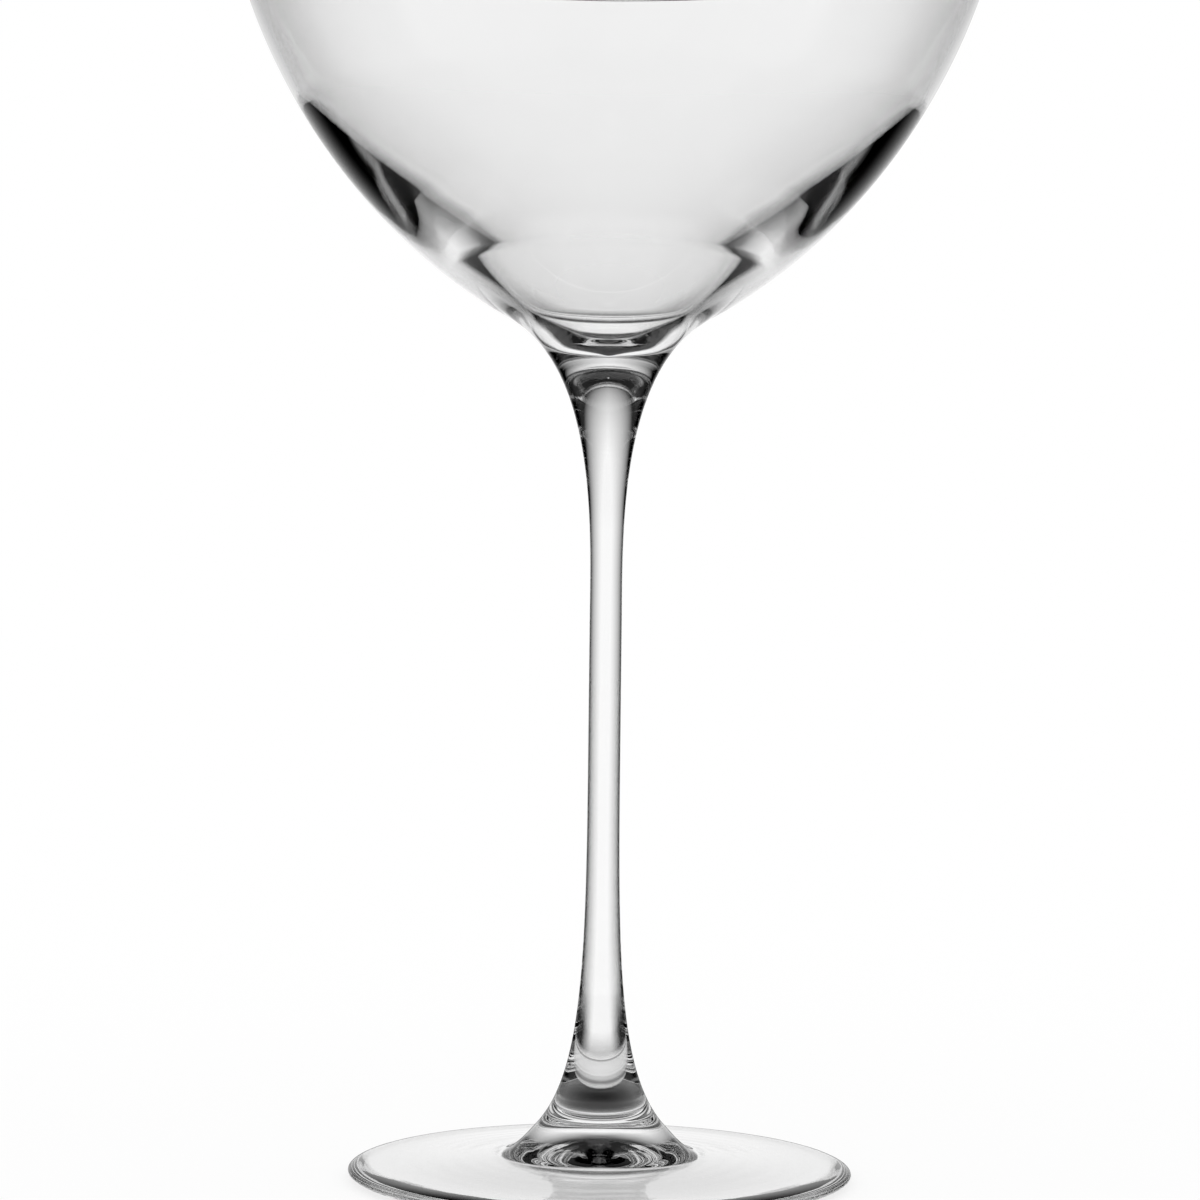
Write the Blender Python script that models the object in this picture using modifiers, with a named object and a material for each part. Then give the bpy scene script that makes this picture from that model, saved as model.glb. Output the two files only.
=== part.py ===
"""Cocktail coupe made of three pieces of clear glass: a bowl, a stem and a foot.

Metres, +Z up. The origin is the middle of the ring that the foot rests on.
Every piece is turned about the Z axis from an outline of (radius, height) points.
Heights are stacked from the ground up, and each piece starts at the edge of the joint under it.
"""

from math import cos, pi, radians, sin, sqrt

import bpy
from mathutils import Vector
from mathutils.geometry import interpolate_bezier

# Foot: a round edge, a skirt that rises from it, and a boss that rises from the skirt to the stem
FOOT_RADIUS = 0.03625
EDGE_THICKNESS = 0.0021
SKIRT_RISE = 0.0012
SKIRT_LEAN = radians(86.5)
BOSS_SPREAD = 0.0057
BOSS_RISE = 0.0041
RING_WIDTH = 0.0082
HOLLOW_DEPTH = 0.0012

# Stem: the edge in the foot, a long flare, a straight waist and a short flare up to the neck.
# A lean is the outline's angle from the vertical.
BASE_RADIUS = 0.0093
BASE_LEAN = radians(42.6)
LOWER_FLARE = 0.0586
WAIST_RADIUS = 0.00233
WAIST_LENGTH = 0.0140
UPPER_FLARE = 0.0386
NECK_RADIUS = 0.00877
NECK_LEAN = radians(34.8)

# Bowl: from the neck out to a shoulder, and from there up to the rim
SHOULDER_SPREAD = 0.00587
SHOULDER_RISE = 0.0054
SHOULDER_LEAN = radians(61)
BOWL_HEIGHT = 0.0614
RIM_RADIUS = 0.0554
RIM_LEAN = radians(12.5)

# Wall of the bowl: thin from the rim to the middle, thicker fast to the heel, then slowly to the base.
# The depths run on from each other, and the floor starts where the base wall is reached.
RIM_WALL = 0.0010
MIDDLE_WALL = 0.0011
HEEL_WALL = 0.0043
BASE_WALL = 0.0050
THIN_DEPTH = 0.0252
HEEL_DEPTH = 0.0173
BASE_DEPTH = 0.0075
FLOOR_RISE = 0.0013

# Joints: the round end of the upper piece sits in a dish in the lower one
SEAT_DEPTH = 0.0008
JOINT_GAP = 0.0003

# How far a curve follows the direction at its end, as a share of the straight line between its ends
EVEN_PULL = 0.34
NECK_PULL = 0.317
WAIST_TOP_PULL = 0.263
WAIST_BOTTOM_PULL = 0.541
BASE_PULL = 0.181

# Points along each kind of curve, and steps around the axis
SEAT_POINTS = 4
RIM_POINTS = 4
EDGE_POINTS = 9
FILLET_POINTS = 6
FLOOR_POINTS = 9
WALL_POINTS = 17
FLARE_POINTS = 14
TURN_STEPS = 48
MERGE_DISTANCE = 0.00001

# Colourless glass, polished by the fire
GLASS_COLOUR = (0.96, 0.97, 0.97, 1)
GLASS_ROUGHNESS = 0.02
GLASS_INDEX = 1.52

# Heights that the stack adds up to
SKIRT_HEIGHT = EDGE_THICKNESS + SKIRT_RISE
BASE_HEIGHT = SKIRT_HEIGHT + BOSS_RISE
WAIST_BOTTOM = BASE_HEIGHT + LOWER_FLARE
WAIST_TOP = WAIST_BOTTOM + WAIST_LENGTH
NECK_HEIGHT = WAIST_TOP + UPPER_FLARE
RIM_HEIGHT = NECK_HEIGHT + BOWL_HEIGHT

DOWN = Vector((0, -1))
TO_AXIS = Vector((-1, 0))


def inward(lean):
    """Direction down an outline that narrows."""
    return Vector((-sin(lean), -cos(lean)))


def outward(lean):
    """Direction down an outline that widens."""
    return Vector((sin(lean), -cos(lean)))


def curve(start, leaving, arriving, end, count, start_pull=EVEN_PULL, end_pull=EVEN_PULL):
    """Points from start to end of a curve that leaves and arrives in two directions."""
    span = (end - start).length
    start_handle = start + leaving * (span * start_pull)
    end_handle = end - arriving * (span * end_pull)
    return interpolate_bezier(start, start_handle, end_handle, end, count)


def arc(centre, radius, first, last, count):
    """Points of a circle's arc between two angles from the outward direction."""
    angles = (first + (last - first) * step / (count - 1) for step in range(count))
    return [centre + Vector((cos(angle), sin(angle))) * radius for angle in angles]


def seat(edge):
    """Points of a shallow round end, from its edge in to the axis."""
    ball = (edge.x**2 + SEAT_DEPTH**2) / (2 * SEAT_DEPTH)
    lowest = edge.y - SEAT_DEPTH
    radii = (edge.x * (1 - step / (SEAT_POINTS - 1)) for step in range(SEAT_POINTS))
    return [Vector((radius, lowest + ball - sqrt(ball**2 - radius**2))) for radius in radii]


def joined(*stretches):
    """One outline of stretches that meet, with each shared point kept once."""
    outline = list(stretches[0])
    for stretch in stretches[1:]:
        outline += stretch[1:]
    return outline


def neck_edge():
    """Edge of the bowl's round end."""
    return Vector((NECK_RADIUS, NECK_HEIGHT))


def base_edge():
    """Edge of the dish in the foot."""
    return Vector((BASE_RADIUS, BASE_HEIGHT))


def wall(depth):
    """Thickness of the bowl's wall at a depth under the rim."""
    thickness = RIM_WALL
    stages = ((THIN_DEPTH, MIDDLE_WALL), (HEEL_DEPTH, HEEL_WALL), (BASE_DEPTH, BASE_WALL))
    for stage_depth, end_wall in stages:
        share = min(max(depth / stage_depth, 0), 1)
        thickness += (end_wall - thickness) * share
        depth -= stage_depth
    return thickness


def lining(outside, leaving):
    """The inside of a wall, each point moved in from the outside by the thickness there.

    It ends where the floor starts, and the direction at that end comes with it.
    """
    runs = [after - before for before, after in zip(outside, outside[2:])]
    inside = []
    for point, run in zip(outside, [leaving, *runs]):
        depth = outside[0].y - point.y
        if depth > THIN_DEPTH + HEEL_DEPTH + BASE_DEPTH:
            break
        down = run.normalized()
        inside.append(point + Vector((down.y, -down.x)) * wall(depth))
    return inside, down


def bowl_outline():
    """Up the inside from the floor, over the rim, down the outside and in to the axis."""
    half_wall = RIM_WALL / 2
    rim_centre = Vector((RIM_RADIUS - half_wall, RIM_HEIGHT - half_wall))
    rim = joined(
        arc(rim_centre, half_wall, pi - RIM_LEAN, pi / 2, RIM_POINTS),
        arc(rim_centre, half_wall, pi / 2, -RIM_LEAN, RIM_POINTS),
    )
    wall_down = inward(RIM_LEAN)
    shoulder_down = inward(SHOULDER_LEAN)
    shoulder = neck_edge() + Vector((SHOULDER_SPREAD, SHOULDER_RISE))
    floor = Vector((0, NECK_HEIGHT + FLOOR_RISE))
    outside = curve(rim[-1], wall_down, shoulder_down, shoulder, WALL_POINTS)
    inside, inside_down = lining(outside, wall_down)
    bottom = curve(inside[-1], inside_down, TO_AXIS, floor, FLOOR_POINTS)
    fillet = curve(shoulder, shoulder_down, inward(NECK_LEAN), neck_edge(), FILLET_POINTS)
    return joined(bottom[::-1], inside[::-1], rim, outside, fillet, seat(neck_edge()))


def stem_outline():
    """From the dish under the bowl, down both flares, to the round end in the foot."""
    neck_down = inward(NECK_LEAN)
    base_down = outward(BASE_LEAN)
    top = neck_edge() + neck_down * (JOINT_GAP / cos(NECK_LEAN))
    bottom = base_edge() - base_down * (JOINT_GAP / cos(BASE_LEAN))
    waist_top = Vector((WAIST_RADIUS, WAIST_TOP))
    waist_bottom = Vector((WAIST_RADIUS, WAIST_BOTTOM))
    upper = curve(top, neck_down, DOWN, waist_top, FLARE_POINTS, NECK_PULL, WAIST_TOP_PULL)
    lower = curve(
        waist_bottom, DOWN, base_down, bottom, FLARE_POINTS, WAIST_BOTTOM_PULL, BASE_PULL
    )
    return joined(seat(top)[::-1], upper, [waist_top, waist_bottom], lower, seat(bottom))


def foot_outline():
    """From the dish under the stem, over the boss and round the edge, to the hollow underneath."""
    half_edge = EDGE_THICKNESS / 2
    edge_centre = Vector((FOOT_RADIUS - half_edge, half_edge))
    edge = arc(edge_centre, half_edge, pi / 2, -pi / 2, EDGE_POINTS)
    skirt = Vector((BASE_RADIUS + BOSS_SPREAD, SKIRT_HEIGHT))
    ring = edge[-1] + TO_AXIS * RING_WIDTH
    hollow = Vector((0, HOLLOW_DEPTH))
    boss = curve(base_edge(), outward(BASE_LEAN), outward(SKIRT_LEAN), skirt, FILLET_POINTS)
    underside = curve(ring, TO_AXIS, TO_AXIS, hollow, FILLET_POINTS)
    return joined(seat(base_edge())[::-1], boss, [skirt, edge[0]], edge, [edge[-1], ring], underside)


def glass(name):
    """Clear glass for one piece."""
    material = bpy.data.materials.new(name)
    material.use_nodes = True
    shader = material.node_tree.nodes["Principled BSDF"].inputs
    shader["Base Color"].default_value = GLASS_COLOUR
    shader["Metallic"].default_value = 0
    shader["Roughness"].default_value = GLASS_ROUGHNESS
    shader["IOR"].default_value = GLASS_INDEX
    shader["Transmission Weight"].default_value = 1
    return material


def turned(name, outline, height, parent, collection):
    """A piece turned about Z from its outline, with its own origin on the axis at a height."""
    points = [(point.x, 0, point.y - height) for point in outline]
    lines = [(index, index + 1) for index in range(len(points) - 1)]
    mesh = bpy.data.meshes.new(name)
    mesh.from_pydata(points, lines, [])
    mesh.materials.append(glass(name + "_glass"))
    piece = bpy.data.objects.new(name, mesh)
    piece.location.z = height
    piece.parent = parent
    turn = piece.modifiers.new("turn", "SCREW")
    turn.steps = TURN_STEPS
    turn.render_steps = TURN_STEPS
    turn.use_merge_vertices = True
    turn.merge_threshold = MERGE_DISTANCE
    turn.use_smooth_shade = True
    collection.objects.link(piece)
    return piece


def main():
    for old in list(bpy.data.objects):
        bpy.data.objects.remove(old)
    collection = bpy.data.collections.new("cocktail_coupe")
    bpy.context.scene.collection.children.link(collection)
    axis = bpy.data.objects.new("coupe_axis", None)
    collection.objects.link(axis)
    turned("foot", foot_outline(), 0, axis, collection)
    turned("stem", stem_outline(), BASE_HEIGHT, axis, collection)
    turned("bowl", bowl_outline(), NECK_HEIGHT, axis, collection)


main()
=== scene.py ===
"""Add-on that dresses the cocktail coupe in clear glass and sets it on a pale table in soft light."""

from math import atan2, cos, degrees, pi, radians, sin, sqrt

import bmesh
import bpy
from bpy.props import FloatProperty, FloatVectorProperty, IntProperty, PointerProperty
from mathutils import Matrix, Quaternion, Vector
from mathutils.geometry import interpolate_bezier


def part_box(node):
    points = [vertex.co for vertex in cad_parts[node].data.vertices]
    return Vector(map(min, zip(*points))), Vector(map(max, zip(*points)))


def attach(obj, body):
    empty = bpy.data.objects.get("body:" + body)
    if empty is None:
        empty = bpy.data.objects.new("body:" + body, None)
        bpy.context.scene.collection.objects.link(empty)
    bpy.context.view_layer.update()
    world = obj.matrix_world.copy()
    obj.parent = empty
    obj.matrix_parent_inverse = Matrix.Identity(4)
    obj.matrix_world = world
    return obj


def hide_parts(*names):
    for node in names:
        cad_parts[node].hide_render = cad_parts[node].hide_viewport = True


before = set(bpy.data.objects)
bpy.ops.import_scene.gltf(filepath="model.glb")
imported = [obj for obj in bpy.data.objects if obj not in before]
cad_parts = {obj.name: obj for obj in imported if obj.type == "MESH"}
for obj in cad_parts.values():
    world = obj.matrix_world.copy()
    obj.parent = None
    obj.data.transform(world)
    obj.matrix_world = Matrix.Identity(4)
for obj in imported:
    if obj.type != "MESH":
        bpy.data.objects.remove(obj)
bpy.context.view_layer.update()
BOWL_LOW, BOWL_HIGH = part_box("bowl")
STEM_LOW, STEM_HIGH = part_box("stem")
FOOT_LOW, FOOT_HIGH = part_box("foot")

bl_info = {
    "name": "Cocktail coupe",
    "version": (1, 0, 0),
    "blender": (4, 5, 0),
    "location": "3D View > Sidebar > Coupe",
    "description": "Builds a three-piece glass coupe and the table it is shown on",
    "category": "Object",
}

DOWN = Vector((0, -1))
TO_AXIS = Vector((-1, 0))
SEAT_DEPTH = 0.0008
AXIS_REACH = 0.000001
GLASS_SLOT, JOINT_SLOT = 0, 1

# How far a curve follows the direction at its end, as a share of the straight line between its ends
EVEN_PULL = 0.34
NECK_PULL = 0.317
WAIST_TOP_PULL = 0.263
WAIST_BOTTOM_PULL = 0.541
BASE_PULL = 0.181

# Points along the curves of each piece
SEAT_POINTS = 8
RIM_POINTS = 15
WALL_POINTS = 64
SLOPE_POINTS = 32
DIMPLE_POINTS = 16
FILLET_POINTS = 16
FLARE_POINTS = 48
EDGE_POINTS = 25
BOSS_POINTS = 20
SKIRT_POINTS = 12
HOLLOW_POINTS = 8

# Cards round the glass: steps around, the far dome, and the radii between which their shades change
CARD_STEPS = 144
CARD_HEIGHT = 0.0004
DOME_RADIUS = 15
STEM_SHADE = 0.012, 0.018
FOOT_SHADE = 0.036, 0.042
ROOM_SHADE = 0.040, 0.055

# How much of the table's tone is its own, with the rest left to light and shadow
TABLE_GLOW = 0.8


def linear(code):
    """Linear colour of an sRGB hex value such as #F2F5F4."""
    parts = [int(code[place : place + 2], 16) / 255 for place in (1, 3, 5)]
    return [part / 12.92 if part <= 0.04045 else ((part + 0.055) / 1.055) ** 2.4 for part in parts]


def length(name, description, default):
    """A size in metres that a user would change."""
    return FloatProperty(name=name, description=description, default=default, unit="LENGTH", precision=5)


def angle(name, description, default):
    """An angle that a user would change, given in degrees."""
    return FloatProperty(name=name, description=description, default=radians(default), unit="ROTATION")


def tint(name, description, code):
    """A colour that a user would change, given as an sRGB hex value."""
    return FloatVectorProperty(
        name=name, description=description, default=linear(code), subtype="COLOR", min=0, max=1
    )


class BowlSizes(bpy.types.PropertyGroup):
    """Sizes of the blown bowl."""

    rim_radius: length("Rim radius", "From the axis to the outside of the rim", BOWL_HIGH.x)
    rim_height: length("Rim height", "From the table to the top of the rim", BOWL_HIGH.z)
    rim_lean: angle("Rim lean", "Angle of the wall from the vertical at the rim", 12.5)
    rim_wall: length("Rim wall", "Thickness of the wall at the rim", 0.0010)
    middle_wall: length("Middle wall", "Thickness of the wall where it starts to thicken", 0.0011)
    heel_wall: length("Heel wall", "Thickness of the wall where it stops thickening fast", 0.0040)
    base_wall: length("Base wall", "Thickness of the wall where the floor starts", 0.0056)
    middle_depth: length("Middle depth", "Depth under the rim where the wall starts to thicken", 0.0252)
    heel_depth: length("Heel depth", "Depth under the rim where it stops thickening fast", 0.0410)
    base_depth: length("Base depth", "Depth under the rim where the floor starts", 0.0495)
    swell: FloatProperty(name="Swell", description="How late the wall thickens, 1 for evenly", default=1.12)
    shoulder_spread: length("Shoulder spread", "From the neck out to the shoulder", 0.00587)
    shoulder_rise: length("Shoulder rise", "From the neck up to the shoulder", 0.0054)
    shoulder_lean: angle("Shoulder lean", "Angle of the wall from the vertical at the shoulder", 61)
    slope_lean: angle("Slope lean", "Angle from the vertical of the slope down to the dimple", 54)
    floor_rise: length("Floor rise", "From the neck up to the floor inside the bowl", 0.0013)
    dimple_radius: length("Dimple radius", "Radius of the dimple in the floor", 0.0055)
    dimple_depth: length("Dimple depth", "From the edge of the dimple down to the floor", 0.0018)
    dimple_lean: angle("Dimple lean", "Angle of the dimple from the vertical at the axis", 76)


class StemSizes(bpy.types.PropertyGroup):
    """Sizes of the drawn stem."""

    neck_radius: length("Neck radius", "Radius where the stem meets the bowl", 0.00877)
    neck_height: length("Neck height", "Height where the stem meets the bowl", BOWL_LOW.z + SEAT_DEPTH)
    neck_lean: angle("Neck lean", "Angle of the outline from the vertical at the neck", 34.8)
    waist_radius: length("Waist radius", "Radius of the thinnest stretch", 0.00233)
    waist_bottom: length("Waist bottom", "Height of the lower end of the waist", 0.066)
    waist_length: length("Waist length", "Length of the straight waist", 0.014)
    base_radius: length("Base radius", "Radius where the stem meets the foot", 0.0093)
    base_height: length("Base height", "Height where the stem meets the foot", FOOT_HIGH.z)
    base_lean: angle("Base lean", "Angle of the outline from the vertical at the base", 42.6)


class FootSizes(bpy.types.PropertyGroup):
    """Sizes of the pressed foot."""

    radius: length("Radius", "From the axis to the edge of the foot", FOOT_HIGH.x)
    edge_thickness: length("Edge thickness", "Thickness of the round edge", 0.0021)
    edge_reach: length("Edge reach", "Width over which the edge rounds off", 0.0038)
    skirt_rise: length("Skirt rise", "From the edge up to the start of the boss", 0.0012)
    skirt_lean: angle("Skirt lean", "Angle of the outline from the vertical at the skirt", 86.5)
    boss_spread: length("Boss spread", "From the base of the stem out to the skirt", 0.0057)
    ring_width: length("Ring width", "Width of the flat ring that the foot rests on", 0.0010)
    hollow_depth: length("Hollow depth", "Height of the hollow under the foot", 0.0047)


class GlassFinish(bpy.types.PropertyGroup):
    """Look of the glass and fineness of its surface."""

    colour: tint("Colour", "Tint of the glass", "#FDFDFD")
    clear_colour: tint("Clear colour", "Glass without tint", "#FFFFFF")
    index: FloatProperty(name="Index", description="Refractive index of crystal glass", default=1.52)
    steps: IntProperty(name="Steps", description="Facets around the axis", default=192, min=48)
    blown_wave: length("Blown wave", "Width of the waves in the bowl", 0.012)
    blown_depth: length("Blown depth", "Depth of the waves in the bowl", 0.00001)
    drawn_width: length("Drawn width", "Width of the lines along the stem", 0.0015)
    drawn_length: length("Drawn length", "Length of the lines along the stem", 0.04)
    drawn_depth: length("Drawn depth", "Depth of the lines along the stem", 0.000004)
    pressed_ring: length("Pressed ring", "Width of the rings in the foot", 0.003)
    pressed_depth: length("Pressed depth", "Depth of the rings in the foot", 0.000004)


class StageSizes(bpy.types.PropertyGroup):
    """Camera, table and cards."""

    camera_side: angle("Camera side", "Compass side that the camera stands on", 225)
    camera_distance: length("Camera distance", "From the camera to the axis", 0.458)
    camera_height: length("Camera height", "From the table up to the camera", 0.0832)
    lens: FloatProperty(
        name="Lens", description="Focal length on a 36 mm sensor", default=95.1, unit="CAMERA"
    )
    turn: angle("Turn", "How far the camera looks to the left of the axis", 0.108)
    roll: angle("Roll", "How far the camera leans to the left", 0.66)
    table_radius: length("Table radius", "From the axis to the edge of the table", 6)


def ramp(value, first, last):
    """0 up to first, 1 from last on, and even between them."""
    return min(max((value - first) / (last - first), 0), 1)


def eased(value, first, last):
    """0 up to first, 1 from last on, and a gentle rise between them."""
    share = ramp(value, first, last)
    return share**2 * (3 - 2 * share)


def inward(lean):
    """Direction down an outline that narrows."""
    return Vector((-sin(lean), -cos(lean)))


def outward(lean):
    """Direction down an outline that widens."""
    return Vector((sin(lean), -cos(lean)))


def curve(start, leaving, arriving, end, count, start_pull=EVEN_PULL, end_pull=EVEN_PULL):
    """Points from start to end of a curve that leaves and arrives in two directions."""
    span = (end - start).length
    start_handle = start + leaving * (span * start_pull)
    end_handle = end - arriving * (span * end_pull)
    return interpolate_bezier(start, start_handle, end_handle, end, count)


def arc(centre, radius, first, last, count):
    """Points of a circle's arc between two angles from the outward direction."""
    angles = (first + (last - first) * step / (count - 1) for step in range(count))
    return [centre + Vector((cos(turn), sin(turn))) * radius for turn in angles]


def joined(*stretches):
    """One outline of stretches that meet, with each shared point kept once."""
    outline = list(stretches[0])
    for stretch in stretches[1:]:
        outline += stretch[1:]
    return outline


def seat(edge):
    """Points of the round joint between two pieces, from its edge in to the axis."""
    ball = (edge.x**2 + SEAT_DEPTH**2) / (2 * SEAT_DEPTH)
    lowest = edge.y - SEAT_DEPTH
    radii = (edge.x * (1 - step / (SEAT_POINTS - 1)) for step in range(SEAT_POINTS))
    return [Vector((radius, lowest + ball - sqrt(ball**2 - radius**2))) for radius in radii]


def neck_edge(coupe):
    """Edge of the joint between bowl and stem."""
    return Vector((coupe.stem.neck_radius, coupe.stem.neck_height))


def base_edge(coupe):
    """Edge of the joint between stem and foot."""
    return Vector((coupe.stem.base_radius, coupe.stem.base_height))


def wall(bowl, depth):
    """Thickness of the bowl's wall at a depth under the rim."""
    upper = ramp(depth, 0, bowl.middle_depth) * (bowl.middle_wall - bowl.rim_wall)
    share = ramp(depth, bowl.middle_depth, bowl.heel_depth) ** bowl.swell
    heel = share * (bowl.heel_wall - bowl.middle_wall)
    base = ramp(depth, bowl.heel_depth, bowl.base_depth) * (bowl.base_wall - bowl.heel_wall)
    return bowl.rim_wall + upper + heel + base


def bowl_outline(coupe):
    """Up the inside from the floor, over the rim and down the outside to the neck."""
    bowl = coupe.bowl
    half_wall = bowl.rim_wall / 2
    centre = Vector((bowl.rim_radius - half_wall, bowl.rim_height - half_wall))
    rim = arc(centre, half_wall, pi - bowl.rim_lean, -bowl.rim_lean, RIM_POINTS)
    neck = neck_edge(coupe)
    shoulder = neck + Vector((bowl.shoulder_spread, bowl.shoulder_rise))
    floor = Vector((0, neck.y + bowl.floor_rise))
    wall_down = inward(bowl.rim_lean)
    shoulder_down = inward(bowl.shoulder_lean)
    outside = curve(rim[-1], wall_down, shoulder_down, shoulder, WALL_POINTS)
    runs = [after - before for before, after in zip(outside, outside[2:])]
    inside = []
    for point, run in zip(outside, [wall_down, *runs]):
        depth = outside[0].y - point.y
        if depth > bowl.base_depth:
            break
        run_down = run.normalized()
        inside.append(point + Vector((run_down.y, -run_down.x)) * wall(bowl, depth))
    dimple = Vector((bowl.dimple_radius, floor.y + bowl.dimple_depth))
    slope_down = inward(bowl.slope_lean)
    slope = curve(inside[-1], run_down, slope_down, dimple, SLOPE_POINTS)
    bottom = joined(slope, curve(dimple, slope_down, inward(bowl.dimple_lean), floor, DIMPLE_POINTS))
    fillet = curve(shoulder, shoulder_down, inward(coupe.stem.neck_lean), neck, FILLET_POINTS)
    return joined(bottom[::-1], inside[::-1], rim, outside, fillet)


def stem_outline(coupe):
    """Down both flares, from the neck to the base."""
    stem = coupe.stem
    waist_bottom = Vector((stem.waist_radius, stem.waist_bottom))
    waist_top = waist_bottom - DOWN * stem.waist_length
    neck, neck_down = neck_edge(coupe), inward(stem.neck_lean)
    base, base_down = base_edge(coupe), outward(stem.base_lean)
    upper = curve(neck, neck_down, DOWN, waist_top, FLARE_POINTS, NECK_PULL, WAIST_TOP_PULL)
    lower = curve(waist_bottom, DOWN, base_down, base, FLARE_POINTS, WAIST_BOTTOM_PULL, BASE_PULL)
    return joined(upper, [waist_top, waist_bottom], lower)


def foot_outline(coupe):
    """From the base over the boss, round the edge and in under the hollow to the axis."""
    foot = coupe.foot
    half_edge = foot.edge_thickness / 2
    centre = Vector((foot.radius - foot.edge_reach, half_edge))
    stretch = Vector((foot.edge_reach, half_edge))
    edge = [centre + point * stretch for point in arc(Vector((0, 0)), 1, pi / 2, -pi / 2, EDGE_POINTS)]
    base = base_edge(coupe)
    skirt = Vector((base.x + foot.boss_spread, foot.edge_thickness + foot.skirt_rise))
    ring = edge[-1] + TO_AXIS * foot.ring_width
    rise = Vector((-sin(foot.skirt_lean), cos(foot.skirt_lean)))
    hollow_edge = Vector((skirt.x, foot.skirt_rise))
    hollow = Vector((0, foot.hollow_depth))
    boss = curve(base, outward(coupe.stem.base_lean), outward(foot.skirt_lean), skirt, BOSS_POINTS)
    slope = curve(skirt, outward(foot.skirt_lean), -TO_AXIS, edge[0], SKIRT_POINTS)
    underside = curve(ring, TO_AXIS, rise, hollow_edge, SKIRT_POINTS)
    middle = curve(hollow_edge, rise, TO_AXIS, hollow, HOLLOW_POINTS)
    return joined(boss, slope, edge, [edge[-1], ring], underside, middle)


def add(tree, kind, settings=None, **links):
    """Adds a node with its settings and links, and returns it."""
    node = tree.nodes.new(kind)
    for name, value in (settings or {}).items():
        if name in node.inputs:
            node.inputs[name].default_value = value
        else:
            setattr(node, name, value)
    for name, socket in links.items():
        tree.links.new(socket, node.inputs[name.replace("_", " ")])
    return node


def new_material(name):
    """An empty node material with its output."""
    material = bpy.data.materials.new(name)
    material.use_nodes = True
    material.node_tree.nodes.clear()
    return material, material.node_tree


def crystal(tree, glass, ripple, depth):
    """Clear crystal, polished by the fire: sharp to look through, with a shallow ripple in its surface."""
    shift = add(tree, "ShaderNodeValToRGB", Fac=ripple)
    shift.color_ramp.elements[0].color = (*glass.colour, 1)
    shift.color_ramp.elements[1].color = (*glass.clear_colour, 1)
    bump = add(tree, "ShaderNodeBump", {"Strength": 1.0, "Distance": depth}, Height=ripple)
    shader = add(
        tree,
        "ShaderNodeBsdfPrincipled",
        {"Roughness": 0.0, "IOR": glass.index, "Transmission Weight": 1.0},
        Base_Color=shift.outputs["Color"],
        Normal=bump.outputs["Normal"],
    )
    add(tree, "ShaderNodeOutputMaterial", Surface=shader.outputs["BSDF"])


def blown_glass(glass):
    """Crystal blown in a mould and turned in it.

    The turning leaves broad, shallow waves, which make what is seen through the wall sway a little.
    """
    material, tree = new_material("blown_crystal_glass")
    place = add(tree, "ShaderNodeTexCoord")
    waves = add(
        tree,
        "ShaderNodeTexNoise",
        {"Scale": 1 / glass.blown_wave, "Detail": 1.0},
        Vector=place.outputs["Object"],
    )
    crystal(tree, glass, waves.outputs["Fac"], glass.blown_depth)
    return material


def drawn_glass(glass):
    """Crystal drawn out into a rod while hot.

    The drawing stretches every unevenness into long lines, seen as faint streaks along the stem.
    """
    material, tree = new_material("drawn_crystal_glass")
    place = add(tree, "ShaderNodeTexCoord")
    stretch = (1 / glass.drawn_width, 1 / glass.drawn_width, 1 / glass.drawn_length)
    stretched = add(tree, "ShaderNodeMapping", {"Scale": stretch}, Vector=place.outputs["Object"])
    lines = add(
        tree,
        "ShaderNodeTexNoise",
        {"Scale": 1.0, "Detail": 1.0},
        Vector=stretched.outputs["Vector"],
    )
    crystal(tree, glass, lines.outputs["Fac"], glass.drawn_depth)
    return material


def pressed_glass(glass):
    """Crystal pressed flat between wooden paddles as it turned.

    The paddles leave faint rings, which break the light at the boss and the edge into fine lines.
    """
    material, tree = new_material("pressed_crystal_glass")
    place = add(tree, "ShaderNodeTexCoord")
    rings = add(
        tree,
        "ShaderNodeTexWave",
        {
            "wave_type": "RINGS",
            "rings_direction": "Z",
            "Scale": 2 * pi / (20 * glass.pressed_ring),
            "Distortion": 2.0,
            "Detail": 1.0,
        },
        Vector=place.outputs["Object"],
    )
    crystal(tree, glass, rings.outputs["Fac"], glass.pressed_depth)
    return material


def fused_joint():
    """Two pieces melted into one: nothing is seen where they meet."""
    found = bpy.data.materials.get("fused_joint")
    if found:
        return found
    material, tree = new_material("fused_joint")
    clear = add(tree, "ShaderNodeBsdfTransparent")
    add(tree, "ShaderNodeOutputMaterial", Surface=clear.outputs["BSDF"])
    return material


def square_to(outline, first, last):
    """Directions square out of an outline that leaves along first and arrives along last."""
    runs = [after - before for before, after in zip(outline, outline[2:])]
    return [Vector((-run.y, run.x)).normalized() for run in (first, *runs, last)]


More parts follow.
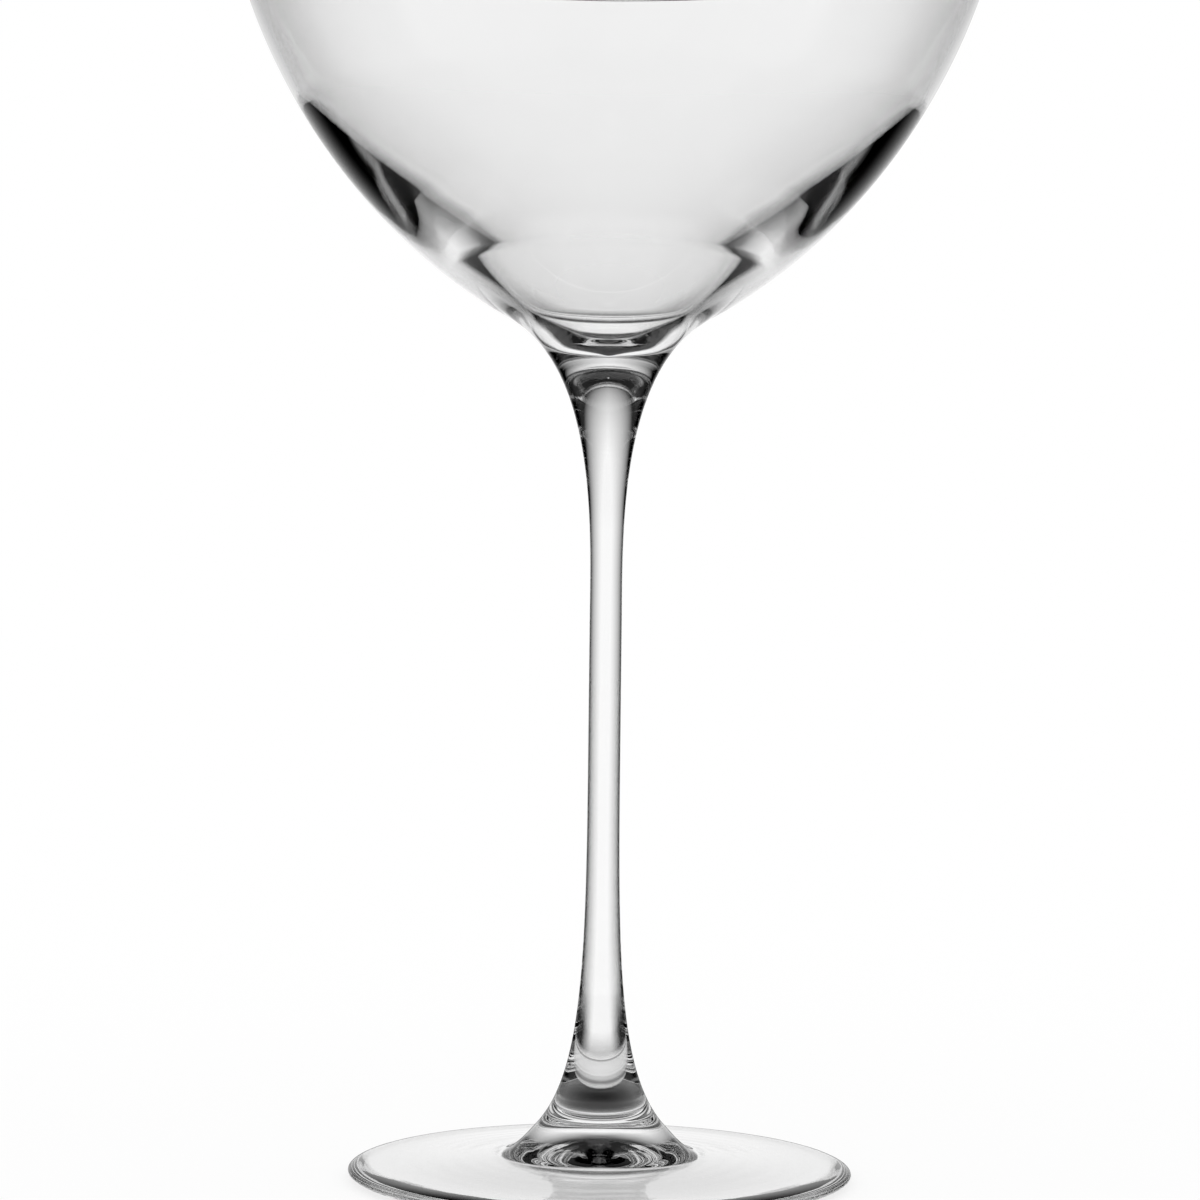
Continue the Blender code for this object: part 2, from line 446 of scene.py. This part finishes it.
def turned(name, stretches, finish, steps):
    """A closed piece turned about Z, from stretches of outline, normals and material slot."""
    outline, directions, slots = [], [], []
    for points, squares, slot in stretches:
        if outline and slot == GLASS_SLOT:
            directions[-1] = squares[0]
        shared = min(len(outline), 1)
        outline += points[shared:]
        directions += squares[shared:]
        slots += [slot] * (len(points) - shared)
    places, normals, rings = [], [], []
    for point, direction in zip(outline, directions):
        around = steps if point.x > AXIS_REACH else 1
        rings.append((len(places), around))
        for step in range(around):
            turn = 2 * pi * step / steps
            places.append((point.x * cos(turn), point.x * sin(turn), point.y))
            normals.append((direction.x * cos(turn), direction.x * sin(turn), direction.y))
    faces, looks = [], []
    for (low, low_count), (high, high_count), slot in zip(rings, rings[1:], slots[1:]):
        for step in range(steps):
            corners = (
                low + step % low_count,
                high + step % high_count,
                high + (step + 1) % high_count,
                low + (step + 1) % low_count,
            )
            faces.append(tuple(dict.fromkeys(corners)))
            looks.append(slot)
    mesh = bpy.data.meshes.new(name)
    mesh.from_pydata(places, [], faces)
    mesh.materials.append(finish)
    mesh.materials.append(fused_joint())
    mesh.polygons.foreach_set("material_index", looks)
    mesh.shade_smooth()
    mesh.normals_split_custom_set_from_vertices(normals)
    piece = bpy.data.objects.new(name, mesh)
    bpy.context.scene.collection.objects.link(piece)
    return piece


def joint(edge):
    """The stretch of a round joint, from its edge in to the axis."""
    outline = seat(edge)
    return outline, square_to(outline, TO_AXIS, TO_AXIS), JOINT_SLOT


def reverse(stretch):
    """The same stretch, run the other way."""
    outline, directions, slot = stretch
    return outline[::-1], [-direction for direction in directions[::-1]], slot


def dress(piece, node):
    """Puts a piece in the place of its solid."""
    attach(piece, "root")
    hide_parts(node)


class COUPE_OT_bowl(bpy.types.Operator):
    """Blow the bowl"""

    bl_idname = "coupe.bowl"
    bl_label = "Bowl"

    def execute(self, context):
        coupe = context.scene.coupe
        finish = blown_glass(coupe.glass)
        outline = bowl_outline(coupe)
        glass = (outline, square_to(outline, -TO_AXIS, inward(coupe.stem.neck_lean)), GLASS_SLOT)
        piece = turned("bowl_blown", [glass, joint(neck_edge(coupe))], finish, coupe.glass.steps)
        dress(piece, "bowl")
        return {"FINISHED"}


class COUPE_OT_stem(bpy.types.Operator):
    """Draw the stem"""

    bl_idname = "coupe.stem"
    bl_label = "Stem"

    def execute(self, context):
        coupe = context.scene.coupe
        finish = drawn_glass(coupe.glass)
        outline = stem_outline(coupe)
        ends = inward(coupe.stem.neck_lean), outward(coupe.stem.base_lean)
        glass = (outline, square_to(outline, *ends), GLASS_SLOT)
        stretches = [reverse(joint(neck_edge(coupe))), glass, joint(base_edge(coupe))]
        piece = turned("stem_drawn", stretches, finish, coupe.glass.steps)
        dress(piece, "stem")
        return {"FINISHED"}


class COUPE_OT_foot(bpy.types.Operator):
    """Press the foot"""

    bl_idname = "coupe.foot"
    bl_label = "Foot"

    def execute(self, context):
        coupe = context.scene.coupe
        finish = pressed_glass(coupe.glass)
        outline = foot_outline(coupe)
        glass = (outline, square_to(outline, outward(coupe.stem.base_lean), TO_AXIS), GLASS_SLOT)
        piece = turned("foot_pressed", [reverse(joint(base_edge(coupe))), glass], finish, coupe.glass.steps)
        dress(piece, "foot")
        return {"FINISHED"}


def sides(spot):
    """How far to the side of the view a spot lies, how high it stands, and if the camera is on its side."""
    across = abs(degrees(atan2(spot.y, spot.x)))
    high = degrees(atan2(spot.z, spot.xy.length))
    return across, high, ramp(across, 98, 108)


def refracted_shade(spot):
    """How dark the room is through the glass: white straight behind it, darker away from there."""
    across, high, behind = sides(spot)
    ahead = ramp((across**1.25 + (1.2 * max(high - 5, 0)) ** 1.25) ** 0.8, 12, 62)
    near = ramp(spot.xy.length, *ROOM_SHADE)
    return near * (ahead * (1 - behind) + ramp(high, 13, 50) * behind)


def returned_shade(spot):
    """How dark the camera's side of the room is for light that turned back in the glass."""
    across, _, behind = sides(spot)
    climb = degrees(atan2(spot.z - 0.13, spot.xy.length))
    lowest = -14 + 26 * ramp(across, 145, 160)
    near = ramp(spot.xy.length, *ROOM_SHADE)
    return near * behind * (0.35 + 0.65 * ramp(climb, lowest, lowest + 8))


def reflected_shade(spot):
    """How dark the room is in reflections: white only straight behind the glass."""
    away = spot - Vector((0, 0, 0.14))
    turn = degrees(away.angle(Vector((1, 0, 0))))
    return eased(turn, 0, 40) - 0.4 * eased(turn, 50, 80)


def far_shade(spot):
    """Painted shade on the table behind the foot, seen only through the glass."""
    return 0.92 * eased(spot.x, 0, 0.02) * eased(spot.xy.length, *FOOT_SHADE)


def side_shade(spot):
    """Painted shade on the table to the sides of the view, and painted shadow under the stem."""
    across, _, behind = sides(spot)
    reach = spot.xy.length
    beside = ramp(across, 14, 32) * (1 - behind) * eased(reach, *FOOT_SHADE)
    return max(beside, 0.78 * (1 - eased(reach, *STEM_SHADE)))


def under_shade(spot):
    """Painted shadow on the table under the rest of the foot, seen only through the glass."""
    reach = spot.xy.length
    return 0.75 * eased(reach, *STEM_SHADE) * (1 - eased(reach, *FOOT_SHADE))


def card(name, outline, shade_at, view, finish, reflected=False):
    """A card round the glass, that only reflections or only refractions see."""
    mesh = bpy.data.meshes.new(name)
    shape = bmesh.new()
    shade = shape.verts.layers.float.new("shade")
    aside = Vector((-view.y, view.x, 0))
    rings = []
    for place in outline:
        ring = []
        for column in range(CARD_STEPS):
            side = 2 * pi * column / CARD_STEPS
            spot = Vector((place.x * cos(side), place.x * sin(side), place.y))
            vert = shape.verts.new(view * spot.x + aside * spot.y + Vector((0, 0, spot.z)))
            vert[shade] = shade_at(spot)
            ring.append(vert)
        rings.append(ring)
    for low, high in zip(rings, rings[1:]):
        for column in range(CARD_STEPS):
            after = (column + 1) % CARD_STEPS
            shape.faces.new((low[column], low[after], high[after], high[column]))
    shape.to_mesh(mesh)
    shape.free()
    mesh.materials.append(finish)
    cards = bpy.data.objects.new(name, mesh)
    cards.visible_camera = False
    cards.visible_diffuse = False
    cards.visible_shadow = False
    cards.visible_glossy = reflected
    cards.visible_transmission = not reflected
    bpy.context.scene.collection.objects.link(cards)


def path_depth(tree, kind):
    """How often light met surfaces of a kind on its way."""
    return add(tree, "ShaderNodeLightPath").outputs[kind]


def flatness(tree, least):
    """How flat light meets the table, with a least value for light that turned back in the glass."""
    turned_back = path_depth(tree, "Glossy Depth")
    raised = add(tree, "ShaderNodeMapRange", {"To Max": least}, Value=turned_back)
    flat = add(tree, "ShaderNodeLayerWeight")
    higher = add(tree, "ShaderNodeMath", {"operation": "MAXIMUM"})
    tree.links.new(flat.outputs["Facing"], higher.inputs[0])
    tree.links.new(raised.outputs["Result"], higher.inputs[1])
    return higher.outputs[0]


def black_card(name, measure, setting, stops=((0, 0), (1, 1))):
    """Black card whose edges fade out, as dark as the stops say for a measure of the light."""
    # Black velvet round the room, and painted shade where the card lies on the table
    material, tree = new_material(name)
    dark = add(tree, "ShaderNodeAttribute", {"attribute_name": "shade"})
    level = add(tree, "ShaderNodeValToRGB", Fac=measure(tree, setting))
    elements = level.color_ramp.elements
    while len(elements) < len(stops):
        elements.new(1)
    for element, (place, value) in zip(elements, stops):
        element.position = place
        element.color = (value, value, value, 1)
    share = add(tree, "ShaderNodeMath", {"operation": "MULTIPLY"})
    tree.links.new(dark.outputs["Fac"], share.inputs[0])
    tree.links.new(level.outputs["Color"], share.inputs[1])
    clear = add(tree, "ShaderNodeBsdfTransparent")
    black = add(tree, "ShaderNodeEmission", {"Color": (0, 0, 0, 1), "Strength": 0})
    mixed = add(tree, "ShaderNodeMixShader", Fac=share.outputs[0])
    tree.links.new(clear.outputs[0], mixed.inputs[1])
    tree.links.new(black.outputs[0], mixed.inputs[2])
    add(tree, "ShaderNodeOutputMaterial", Surface=mixed.outputs[0])
    return material


def dark_cards(view):
    """The dark sides of the room, for refractions and for reflections, and painted shade on the table."""
    ground = [Vector((ROOM_SHADE[0] * 1.2**step, CARD_HEIGHT)) for step in range(33)]
    dome = arc(Vector((0, CARD_HEIGHT)), DOME_RADIUS, 0, radians(89), 60)
    even = black_card("black_card", path_depth, "Ray Depth")
    card("dark_room", ground + dome, refracted_shade, view, even)
    card("dark_mirror_room", ground + dome, reflected_shade, view, even, True)
    turned_back = black_card("black_card_back", path_depth, "Glossy Depth")
    card("dark_back", [spot * 0.98 for spot in ground + dome], returned_shade, view, turned_back)
    # Painted shade on the table through the glass: dark at a slant, white from above unless the light
    # turned back
    looks = (
        ("far", far_shade, -0.00004, ((0.10, 0), (0.20, 1), (0.52, 1), (0.68, 0))),
        ("side", side_shade, -0.00008, ((0.10, 0), (0.20, 1), (0.66, 1), (0.78, 0))),
        ("under", under_shade, -0.00012, ((0.28, 0), (0.36, 1), (0.46, 0))),
    )
    for name, shade_at, height, stops in looks:
        flat = [Vector((0.001 * 1.15**step, height)) for step in range(58)]
        painted_shade = black_card("painted_shade_table_" + name, flatness, 0.36, stops)
        card("table_" + name, flat, shade_at, view, painted_shade)


def table(stage):
    """White matt table that the coupe stands on."""
    mesh = bpy.data.meshes.new("table")
    shape = bmesh.new()
    bmesh.ops.create_circle(shape, cap_ends=True, radius=stage.table_radius, segments=96)
    shape.to_mesh(mesh)
    shape.free()
    material, tree = new_material("matt_white_table")
    paint = add(tree, "ShaderNodeBsdfDiffuse", {"Color": (*linear("#FFFFFF"), 1)})
    path = add(tree, "ShaderNodeLightPath")
    flat = add(tree, "ShaderNodeLayerWeight")
    level = add(tree, "ShaderNodeMapRange", {"From Max": 0.45}, Value=flat.outputs["Facing"])
    # Painted shade: light that turned back in the glass sees the table's glow darker where it comes down
    # steeply
    straight = add(tree, "ShaderNodeMath", {"operation": "SUBTRACT"})
    straight.inputs[0].default_value = 1
    tree.links.new(path.outputs["Glossy Depth"], straight.inputs[1])
    tone = add(tree, "ShaderNodeMath", {"operation": "MAXIMUM"})
    tree.links.new(straight.outputs[0], tone.inputs[0])
    tree.links.new(level.outputs["Result"], tone.inputs[1])
    light = add(tree, "ShaderNodeEmission", Strength=tone.outputs[0])
    seen = path.outputs["Is Camera Ray"]
    for kind in ("Is Glossy Ray", "Is Transmission Ray"):
        either = add(tree, "ShaderNodeMath", {"operation": "MAXIMUM"})
        tree.links.new(seen, either.inputs[0])
        tree.links.new(path.outputs[kind], either.inputs[1])
        seen = either.outputs[0]
    share = add(tree, "ShaderNodeMath", {"operation": "MULTIPLY"})
    tree.links.new(seen, share.inputs[0])
    share.inputs[1].default_value = TABLE_GLOW
    mixed = add(tree, "ShaderNodeMixShader", Fac=share.outputs[0])
    tree.links.new(paint.outputs[0], mixed.inputs[1])
    tree.links.new(light.outputs[0], mixed.inputs[2])
    add(tree, "ShaderNodeOutputMaterial", Surface=mixed.outputs[0])
    mesh.materials.append(material)
    top = bpy.data.objects.new("table", mesh)
    top.location.z = -0.00016
    bpy.context.scene.collection.objects.link(top)


def white_room():
    """White surroundings at a plain level."""
    world = bpy.data.worlds.new("white_room")
    world.use_nodes = True
    world.node_tree.nodes["Background"].inputs["Color"].default_value = (1, 1, 1, 1)
    world.node_tree.nodes["Background"].inputs["Strength"].default_value = 1
    bpy.context.scene.world = world


def camera(stage, view):
    """The camera, level with the stem."""
    lens = bpy.data.cameras.new("camera")
    lens.lens = stage.lens
    lens.sensor_width = 36
    lens.clip_start = 0.01
    eye = bpy.data.objects.new("camera", lens)
    eye.location = -view * stage.camera_distance + Vector((0, 0, stage.camera_height))
    look = Quaternion((0, 0, 1), stage.turn) @ view
    eye.rotation_mode = "QUATERNION"
    eye.rotation_quaternion = look.to_track_quat("-Z", "Y") @ Quaternion((0, 0, 1), stage.roll)
    bpy.context.scene.collection.objects.link(eye)
    bpy.context.scene.camera = eye


class COUPE_OT_stage(bpy.types.Operator):
    """Set the table, the cards, the light and the camera"""

    bl_idname = "coupe.stage"
    bl_label = "Stage"

    def execute(self, context):
        stage = context.scene.coupe.stage
        view = Vector((-sin(stage.camera_side), cos(stage.camera_side), 0))
        table(stage)
        dark_cards(view)
        white_room()
        camera(stage, view)
        context.scene.view_settings.view_transform = "Standard"
        context.scene.cycles.max_bounces = 32
        context.scene.cycles.transmission_bounces = 32
        context.scene.cycles.glossy_bounces = 16
        context.scene.cycles.transparent_max_bounces = 32
        return {"FINISHED"}


class CoupeSettings(bpy.types.PropertyGroup):
    """Everything about the coupe that a user would change."""

    bowl: PointerProperty(type=BowlSizes)
    stem: PointerProperty(type=StemSizes)
    foot: PointerProperty(type=FootSizes)
    glass: PointerProperty(type=GlassFinish)
    stage: PointerProperty(type=StageSizes)


class COUPE_PT_panel(bpy.types.Panel):
    """Coupe sizes and the buttons that build it"""

    bl_label = "Cocktail coupe"
    bl_space_type = "VIEW_3D"
    bl_region_type = "UI"
    bl_category = "Coupe"

    def draw(self, context):
        coupe = context.scene.coupe
        for group in ("bowl", "stem", "foot", "stage"):
            box = self.layout.box()
            box.operator("coupe." + group)
            sizes = getattr(coupe, group)
            for name in sizes.__annotations__:
                box.prop(sizes, name)
        for name in coupe.glass.__annotations__:
            self.layout.prop(coupe.glass, name)


CLASSES = (
    BowlSizes,
    StemSizes,
    FootSizes,
    GlassFinish,
    StageSizes,
    CoupeSettings,
    COUPE_OT_bowl,
    COUPE_OT_stem,
    COUPE_OT_foot,
    COUPE_OT_stage,
    COUPE_PT_panel,
)


def register():
    for kind in CLASSES:
        bpy.utils.register_class(kind)
    bpy.types.Scene.coupe = PointerProperty(type=CoupeSettings)


def unregister():
    del bpy.types.Scene.coupe
    for kind in reversed(CLASSES):
        bpy.utils.unregister_class(kind)


def main():
    register()
    bpy.ops.coupe.bowl()
    bpy.ops.coupe.stem()
    bpy.ops.coupe.foot()
    bpy.ops.coupe.stage()


if __name__ == "__main__":
    main()
